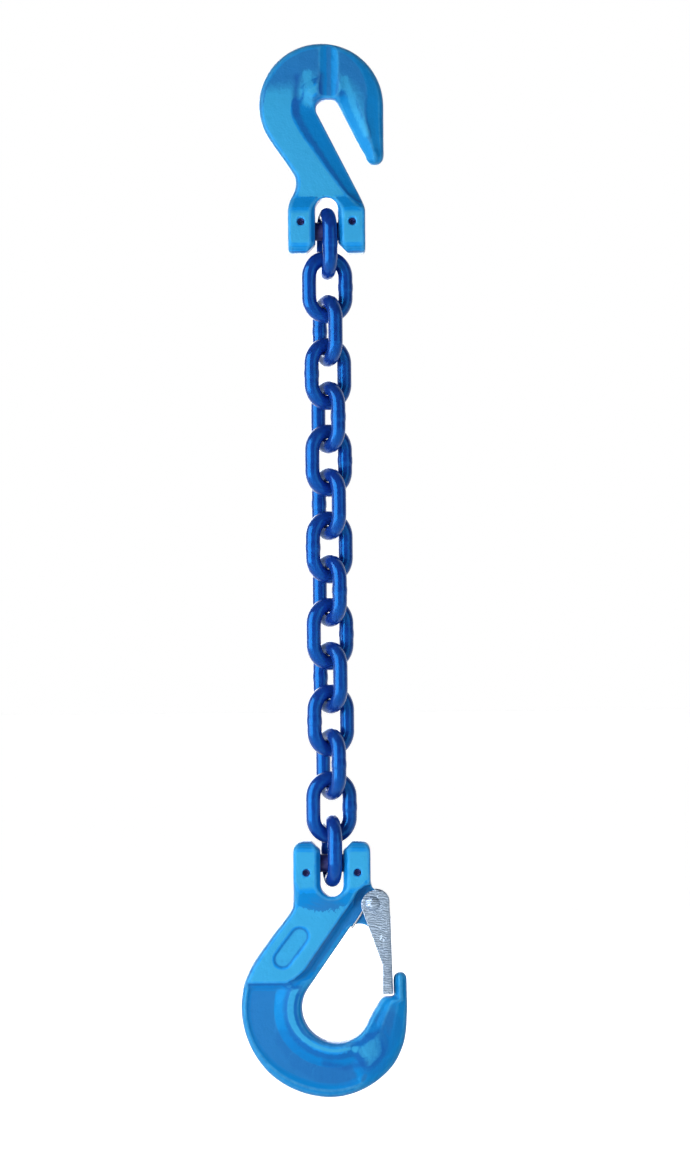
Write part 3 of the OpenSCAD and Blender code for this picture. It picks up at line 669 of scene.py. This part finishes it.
class StageSettings(bpy.types.PropertyGroup):
    distance: FloatProperty(name="Camera distance", description="Camera to the plane of the hooks",
                            default=3.2, min=1.0, max=10.0, unit="LENGTH")
    view_height: FloatProperty(name="View height", description="Height of the view at the plane of the hooks",
                               default=0.8033, min=0.2, max=3.0, unit="LENGTH")
    aim: FloatVectorProperty(name="Aim", description="Middle of the view", subtype="TRANSLATION",
                             default=(0.01057, 0.0, -0.333))
    roll: FloatProperty(name="Roll", description="Roll of the camera", default=0.00824, min=-0.2, max=0.2,
                        precision=4, unit="ROTATION")
    floor_drop: FloatProperty(name="Floor drop", description="Floor below the lowest point of the sling",
                              default=0.06, min=0.0, max=2.0, unit="LENGTH")
    key_power: FloatProperty(name="Key power", description="Power of the lamp at the left front",
                             default=8.6, min=0.0, max=500.0, unit="POWER")
    sheen_power: FloatProperty(name="Sheen power",
                               description="Power of the tall softbox that the paint mirrors", default=56.0,
                               min=0.0, max=500.0, unit="POWER")
    fill_power: FloatProperty(name="Fill power", description="Power of the lamp at the right front",
                              default=14.0, min=0.0, max=500.0, unit="POWER")
    rear_power: FloatProperty(name="Rear power", description="Power of the lamp behind", default=34.0,
                              min=0.0, max=500.0, unit="POWER")
    sky: FloatProperty(name="Sky", description="Strength of the even light", default=0.13, min=0.0, max=2.0)


class SlingSettings(bpy.types.PropertyGroup):
    hooks: PointerProperty(name="Hooks", description="Skin and paint of the two hooks", type=HookSettings)
    chain: PointerProperty(name="Chain", description="Size and paint of the links", type=ChainSettings)
    latch: PointerProperty(name="Latch", description="Sheet, plate and spring of the latch",
                           type=LatchSettings)
    pins: PointerProperty(name="Pins", description="Steel of the pins", type=PinSettings)
    stage: PointerProperty(name="Stage", description="Floor, lamps and camera", type=StageSettings)


# Pieces

class CHAINSLING_OT_finishes(bpy.types.Operator):
    """Make the shared surface effects and the finishes of all pieces"""
    bl_idname = "chain_sling.finishes"
    bl_label = "Finishes"

    def execute(self, context):
        sling = context.scene.chain_sling
        for make_group in (coat_texture_group, edge_and_hollow_group, forged_shade_group, light_shade_strokes_group,
                           turned_steel_group, zinc_bloom_group):
            make_group()
        paint("hook_coat", sling.hooks, True, **HOOK_COAT)
        paint("chain_coat", sling.chain, False, **CHAIN_COAT)
        zinc_plate(sling.latch)
        blued_steel(sling.pins)
        bare_steel(sling.latch)
        return {"FINISHED"}


class CHAINSLING_OT_hooks(bpy.types.Operator):
    """Make the painted skins of the grab hook and the sling hook"""
    bl_idname = "chain_sling.hooks"
    bl_label = "Hooks"

    def execute(self, context):
        looks = context.scene.chain_sling.hooks
        for node in ("grab_hook", "sling_hook"):
            mesh = softened(node, looks.grid, looks.rounding)
            if node in EASED:
                mesh = eased(mesh, EASED[node], looks.easing)
            # painted highlights and painted shade, as strokes on the skin
            paint_light_shade_strokes(mesh, LIGHT_SHADE_STROKES[node], looks.light_shade_fade)
            new_piece(node + "_forging", mesh, "hook_coat", node, "hook_paint", node)
        return {"FINISHED"}


class CHAINSLING_OT_chain(bpy.types.Operator):
    """Make the welded and painted links of the chain"""
    bl_idname = "chain_sling.chain"
    bl_label = "Chain"

    def execute(self, context):
        looks = context.scene.chain_sling.chain
        for node in LINKS:
            low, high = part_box(node)
            middle = (low + high) / 2
            # the bead gives the welded limb more corners near the middle, which tells the link's turn
            weld = np.mean([v.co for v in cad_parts[node].data.vertices
                            if abs(v.co.z - middle.z) < WELD_BAND * looks.wire], axis=0)
            yaw = math.atan2(weld[1], weld[0])
            across = Vector((math.cos(yaw), math.sin(yaw), 0.0))
            line, length = stadium(looks.width, high.z - low.z, looks.wire, looks.steps)
            path = [Vector((0, 0, middle.z)) + x * across + Vector((0, 0, z)) for x, z in line]
            radii = []
            for i in range(looks.steps):
                s = min(i, looks.steps - i) * length / looks.steps
                radii.append(looks.wire / 2 + looks.weld_rise * math.exp(-(s / WELD_HALF) ** 4))
            mesh = tube_mesh(node, path, radii, looks.sides, closed=True)
            new_piece(node + "_painted", mesh, "chain_coat", node, "chain_paint", node)
        return {"FINISHED"}


class CHAINSLING_OT_pins(bpy.types.Operator):
    """Give the load pins their steel and make the spring pins with the paint that fills their bores"""
    bl_idname = "chain_sling.pins"
    bl_label = "Pins"

    def execute(self, context):
        looks = context.scene.chain_sling.pins
        for node in ("grab_load_pin", "sling_load_pin"):
            refinish(node, "blued_steel")
        for node, body in (("grab_roll_pins", "grab_hook"), ("sling_roll_pins", "sling_hook")):
            mesh = bare_mesh(node)
            low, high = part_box(node)
            pin_r = (high.z - low.z) / 2
            fill_r = looks.fill_share * pin_r
            depth = high.y - low.y - 2 * looks.fill_depth
            turn = Matrix.Rotation(math.pi / 2, 4, "X")
            work = bmesh.new()
            work.from_mesh(mesh)
            for x in (low.x + pin_r, high.x - pin_r):
                middle = Matrix.Translation((x, (low.y + high.y) / 2, (low.z + high.z) / 2))
                bmesh.ops.create_cone(work, cap_ends=True, segments=BORE_SIDES, radius1=fill_r,
                                      radius2=fill_r, depth=depth, matrix=middle @ turn)
            work.to_mesh(mesh)
            work.free()
            new_piece(node + "_filled", mesh, "blued_steel", body, "steel", node)
        return {"FINISHED"}


class CHAINSLING_OT_latch(bpy.types.Operator):
    """Make the folded latch, its rivet and its spring"""
    bl_idname = "chain_sling.latch"
    bl_label = "Latch"

    def execute(self, context):
        looks = context.scene.chain_sling.latch
        mesh = softened("latch", looks.grid, looks.rounding)
        new_piece("latch_sheet", mesh, "latch_zinc", "latch", "zinc", "latch")
        refinish("latch_rivet", "latch_zinc")

        # the spring's coils wind round the rivet, and its middle leg lies behind the web of the latch
        low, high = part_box("latch_rivet")
        rivet = (low + high) / 2
        half = list(SPRING_FOOT)
        for turn in range(COIL_FROM, COIL_TO - 1, -COIL_STEP):
            out = COIL_OUT + (COIL_FROM - turn) / 360 * COIL_PITCH
            angle = math.radians(turn)
            half.append((COIL_R * math.cos(angle), -out, COIL_R * math.sin(angle)))
        half += SPRING_LEG
        other_half = [(x, -y, z) for x, y, z in reversed(half)]
        path = smooth_path([rivet + MM * Vector(p) for p in half + other_half], SPRING_CURVE_STEPS)
        mesh = tube_mesh("latch_spring", path, [looks.spring_wire / 2] * len(path), SPRING_SIDES)
        spring = new_piece("latch_spring_wire", mesh, "bare_steel", None, "steel", "latch_spring")
        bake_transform(spring)
        return {"FINISHED"}


class CHAINSLING_OT_stage(bpy.types.Operator):
    """Set the floor, the lamps and the camera"""
    bl_idname = "chain_sling.stage"
    bl_label = "Stage"

    def execute(self, context):
        looks = context.scene.chain_sling.stage
        scene = context.scene
        scene.view_settings.view_transform = "Standard"
        aim = Vector(looks.aim)

        # the backdrop is white for the camera, and mirrored only where it is behind the sling
        world = bpy.data.worlds.new("studio")
        world.use_nodes = True
        scene.world = world
        tree = world.node_tree
        back = tree.nodes["Background"]
        back.inputs["Color"].default_value = WHITE
        path = add(tree, "ShaderNodeLightPath").outputs
        heading = add(tree, "ShaderNodeTexCoord").outputs["Generated"]
        behind = ranged(tree, add(tree, "ShaderNodeSeparateXYZ", {0: heading}).outputs["Y"], *BACKDROP)
        mirrored = times(tree, path["Is Glossy Ray"], behind)
        seen = math_node(tree, "MAXIMUM", path["Is Camera Ray"], path["Is Transmission Ray"])
        seen = math_node(tree, "MAXIMUM", seen, mirrored)
        tree.links.new(ranged(tree, seen, 0.0, 1.0, looks.sky, 1.0), back.inputs["Strength"])

        floor_mesh = bpy.data.meshes.new("floor")
        z = CAD_BOX[0][2] - looks.floor_drop
        corners = [(x * FLOOR_REACH, y * FLOOR_REACH, z) for x, y in ((-1, -1), (1, -1), (1, 1), (-1, 1))]
        floor_mesh.from_pydata(corners, [], [(0, 1, 2, 3)])
        floor = bpy.data.objects.new("floor", floor_mesh)
        scene.collection.objects.link(floor)
        tree, shader = new_material("pale_floor")
        shader.inputs["Base Color"].default_value = FLOOR_TONE
        shader.inputs["Roughness"].default_value = FLOOR_ROUGHNESS
        path = add(tree, "ShaderNodeLightPath").outputs
        seen = math_node(tree, "MAXIMUM", path["Is Camera Ray"], path["Is Transmission Ray"])
        seen = math_node(tree, "MAXIMUM", seen, path["Is Glossy Ray"])
        shader.inputs["Emission Color"].default_value = WHITE
        tree.links.new(times(tree, seen, FLOOR_GLOW), shader.inputs["Emission Strength"])
        finish(floor_mesh, "pale_floor")

        # the key lights without a mirror image, and the sheen softbox is only mirrored
        for name, (place, size) in LAMPS.items():
            lamp = bpy.data.lights.new(name, "AREA")
            lamp.shape = "RECTANGLE"
            lamp.size, lamp.size_y = size
            lamp.energy = getattr(looks, name + "_power")
            holder = bpy.data.objects.new(name, lamp)
            scene.collection.objects.link(holder)
            holder.location = aim + Vector(place)
            holder.rotation_euler = (aim - holder.location).to_track_quat("-Z", "Y").to_euler()
            holder.visible_camera = False
            holder.visible_glossy = name != "key"
            holder.visible_diffuse = name != "sheen"

        camera = bpy.data.cameras.new("camera")
        camera.sensor_fit = "VERTICAL"
        camera.sensor_height = SENSOR_HEIGHT
        camera.lens = camera.sensor_height * looks.distance / looks.view_height
        holder = bpy.data.objects.new("camera", camera)
        scene.collection.objects.link(holder)
        holder.location = aim + Vector((0, -looks.distance, 0))
        holder.rotation_euler = (math.pi / 2, looks.roll, 0)
        scene.camera = holder
        return {"FINISHED"}


class CHAINSLING_PT_sidebar(bpy.types.Panel):
    """Sizes, colours and pieces of the chain sling"""
    bl_idname = "CHAINSLING_PT_sidebar"
    bl_label = "Chain Sling"
    bl_space_type = "VIEW_3D"
    bl_region_type = "UI"
    bl_category = "Chain Sling"

    def draw(self, context):
        sling = context.scene.chain_sling
        for title in SlingSettings.__annotations__:
            part = getattr(sling, title)
            box = self.layout.box()
            box.label(text=title.capitalize())
            for key in part.__annotations__:
                box.prop(part, key)
        for maker in MAKERS:
            self.layout.operator(maker.bl_idname)


MAKERS = (CHAINSLING_OT_finishes, CHAINSLING_OT_hooks, CHAINSLING_OT_chain, CHAINSLING_OT_pins,
          CHAINSLING_OT_latch, CHAINSLING_OT_stage)
CLASSES = (HookSettings, ChainSettings, LatchSettings, PinSettings, StageSettings, SlingSettings, *MAKERS,
           CHAINSLING_PT_sidebar)


def register():
    for cls in CLASSES:
        bpy.utils.register_class(cls)
    bpy.types.Scene.chain_sling = PointerProperty(type=SlingSettings)


def unregister():
    del bpy.types.Scene.chain_sling
    for cls in reversed(CLASSES):
        bpy.utils.unregister_class(cls)


def main():
    register()
    for maker in MAKERS:
        group, name = maker.bl_idname.split(".")
        getattr(getattr(bpy.ops, group), name)()


if __name__ == "__main__":
    main()
